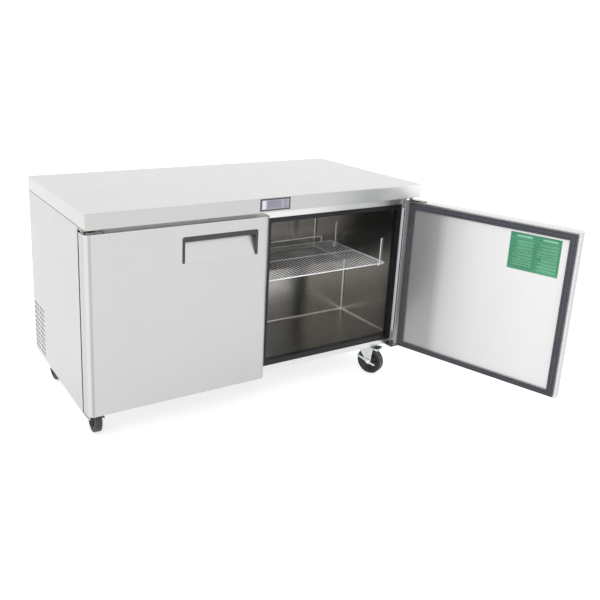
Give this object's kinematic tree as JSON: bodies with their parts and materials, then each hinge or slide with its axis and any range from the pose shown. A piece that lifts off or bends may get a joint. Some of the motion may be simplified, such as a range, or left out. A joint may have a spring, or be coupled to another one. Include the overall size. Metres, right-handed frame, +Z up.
{
  "type": "undercounter refrigerator",
  "caption": "Low stainless refrigerator with a flat worktop, hinged doors, wire shelves inside and swivel casters, one door standing open.",
  "frame": {"origin": "on the floor at the centre of the whole object's bounding box, with the left door closed and the right door standing open", "axes": "+X to the right along the cabinet's front, +Y from the front to the back, +Z up"},
  "size_m": [1.7751, 1.4395, 0.932],
  "materials": {
    "stainless": "satin",
    "interior_stainless": "satin",
    "galvanised_sheet": "satin",
    "foam": "matte",
    "black_strip": "gloss",
    "gasket_rubber": "matte",
    "dark_plastic": "satin",
    "button_plastic": "satin",
    "lilac_plastic": "gloss",
    "green_sheet": "satin",
    "coated_wire": "gloss",
    "aluminium_fins": "satin",
    "black_plastic": "satin",
    "black_paint": "satin",
    "copper": "satin",
    "polished_steel": "polished",
    "zinc_plate": "satin",
    "wheel_plastic": "satin",
    "tyre_rubber": "matte"
  },
  "bodies": {
    "cabinet": {"worktop": "stainless", "worktop_core": "foam", "left_side_panel": "stainless", "right_side_panel": "stainless", "back_panel": "galvanised_sheet", "rear_grille": "galvanised_sheet", "base_pan": "galvanised_sheet", "face_frame": "stainless", "breaker_strips": "black_strip", "cabinet_foam": "foam", "cabinet_liner": "interior_stainless", "shelf_posts": "interior_stainless", "shelf_hooks": "coated_wire", "evaporator_cover": "interior_stainless", "evaporator_coil": "aluminium_fins", "fan_motors": "black_paint", "compressor": "black_paint", "condenser_coil": "aluminium_fins", "condenser_shroud": "galvanised_sheet", "refrigerant_lines": "copper", "drain_pan": "black_plastic", "cable_gland": "dark_plastic", "controller_bezel": "dark_plastic", "controller_face": "lilac_plastic", "hinge_brackets": "polished_steel", "fasteners": "polished_steel", "caster_plates": "zinc_plate"},
    "left_door": {"left_door_skin": "stainless", "left_door_liner": "stainless", "left_door_foam": "foam", "left_door_gasket": "gasket_rubber", "left_door_caps": "dark_plastic", "left_door_grip": "dark_plastic"},
    "right_door": {"right_door_skin": "stainless", "right_door_liner": "stainless", "right_door_foam": "foam", "right_door_gasket": "gasket_rubber", "right_door_caps": "dark_plastic", "right_door_grip": "dark_plastic", "right_door_placard": "green_sheet"},
    "evaporator_rotor": {"evaporator_fan": "black_plastic"},
    "condenser_rotor": {"condenser_fan": "black_plastic"},
    "up_button": {"up_key": "button_plastic"},
    "down_button": {"down_key": "button_plastic"},
    "left_wire_shelf": {"left_shelf": "coated_wire"},
    "right_wire_shelf": {"right_shelf": "coated_wire"},
    "front_left_caster": {"front_left_fork": "zinc_plate"},
    "front_left_wheel": {"front_left_hub": "wheel_plastic", "front_left_tyre": "tyre_rubber"},
    "front_left_pedal": {"front_left_brake_pedal": "black_plastic"},
    "front_right_caster": {"front_right_fork": "zinc_plate"},
    "front_right_wheel": {"front_right_hub": "wheel_plastic", "front_right_tyre": "tyre_rubber"},
    "front_right_pedal": {"front_right_brake_pedal": "black_plastic"},
    "rear_left_caster": {"rear_left_fork": "zinc_plate"},
    "rear_left_wheel": {"rear_left_hub": "wheel_plastic", "rear_left_tyre": "tyre_rubber"},
    "rear_right_caster": {"rear_right_fork": "zinc_plate"},
    "rear_right_wheel": {"rear_right_hub": "wheel_plastic", "rear_right_tyre": "tyre_rubber"}
  },
  "joints": [
    {"name": "left_door_hinge", "type": "hinge", "parent": "cabinet", "child": "left_door", "pos_m": [-0.8796, 0.0055, 0.5], "axis": [0, 0, -1], "range_deg": [0, 120]},
    {"name": "right_door_hinge", "type": "hinge", "parent": "cabinet", "child": "right_door", "pos_m": [0.6344, 0.0055, 0.5], "axis": [0, 0, 1], "range_deg": [-107.5, 12.5]},
    {"name": "evaporator_fan_spin", "type": "hinge", "parent": "cabinet", "child": "evaporator_rotor", "pos_m": [-0.1226, 0.5695, 0.7], "axis": [0, 1, 0], "continuous": true},
    {"name": "condenser_fan_spin", "type": "hinge", "parent": "cabinet", "child": "condenser_rotor", "pos_m": [-0.7176, 0.5855, 0.285], "axis": [1, 0, 0], "continuous": true},
    {"name": "up_key_press", "type": "slide", "parent": "cabinet", "child": "up_button", "axis": [0, 1, 0], "range_m": [0, 0.001], "stiffness_N_per_m": 600},
    {"name": "down_key_press", "type": "slide", "parent": "cabinet", "child": "down_button", "axis": [0, 1, 0], "range_m": [0, 0.001], "stiffness_N_per_m": 600},
    {"name": "left_shelf_lift", "type": "slide", "parent": "cabinet", "child": "left_wire_shelf", "axis": [0, 0, 1], "range_m": [0, 0.08]},
    {"name": "right_shelf_lift", "type": "slide", "parent": "cabinet", "child": "right_wire_shelf", "axis": [0, 0, 1], "range_m": [0, 0.08]},
    {"name": "front_left_swivel", "type": "hinge", "parent": "cabinet", "child": "front_left_caster", "pos_m": [-0.8126, 0.1035, 0.14], "axis": [0, 0, 1], "continuous": true},
    {"name": "front_left_roll", "type": "hinge", "parent": "front_left_caster", "child": "front_left_wheel", "pos_m": [-0.80995, 0.14141, 0.0625], "axis": [-0.9976, 0.0698, 0], "continuous": true},
    {"name": "front_left_brake", "type": "hinge", "parent": "front_left_caster", "child": "front_left_pedal", "pos_m": [-0.80904, 0.15438, 0.1295], "axis": [-0.9976, 0.0698, 0], "range_deg": [0, 12]},
    {"name": "front_right_swivel", "type": "hinge", "parent": "cabinet", "child": "front_right_caster", "pos_m": [0.5174, 0.1035, 0.14], "axis": [0, 0, 1], "continuous": true},
    {"name": "front_right_roll", "type": "hinge", "parent": "front_right_caster", "child": "front_right_wheel", "pos_m": [0.53102, 0.06802, 0.0625], "axis": [0.9336, 0.3584, 0], "continuous": true},
    {"name": "front_right_brake", "type": "hinge", "parent": "front_right_caster", "child": "front_right_pedal", "pos_m": [0.53568, 0.05589, 0.1295], "axis": [0.9336, 0.3584, 0], "range_deg": [0, 12]},
    {"name": "rear_left_swivel", "type": "hinge", "parent": "cabinet", "child": "rear_left_caster", "pos_m": [-0.8126, 0.6195, 0.14], "axis": [0, 0, 1], "continuous": true},
    {"name": "rear_left_roll", "type": "hinge", "parent": "rear_left_caster", "child": "rear_left_wheel", "pos_m": [-0.81525, 0.65741, 0.0625], "axis": [-0.9976, -0.0698, 0], "continuous": true},
    {"name": "rear_right_swivel", "type": "hinge", "parent": "cabinet", "child": "rear_right_caster", "pos_m": [0.5174, 0.6195, 0.14], "axis": [0, 0, 1], "continuous": true},
    {"name": "rear_right_roll", "type": "hinge", "parent": "rear_right_caster", "child": "rear_right_wheel", "pos_m": [0.52659, 0.65637, 0.0625], "axis": [-0.9703, 0.2419, 0], "continuous": true}
  ]
}
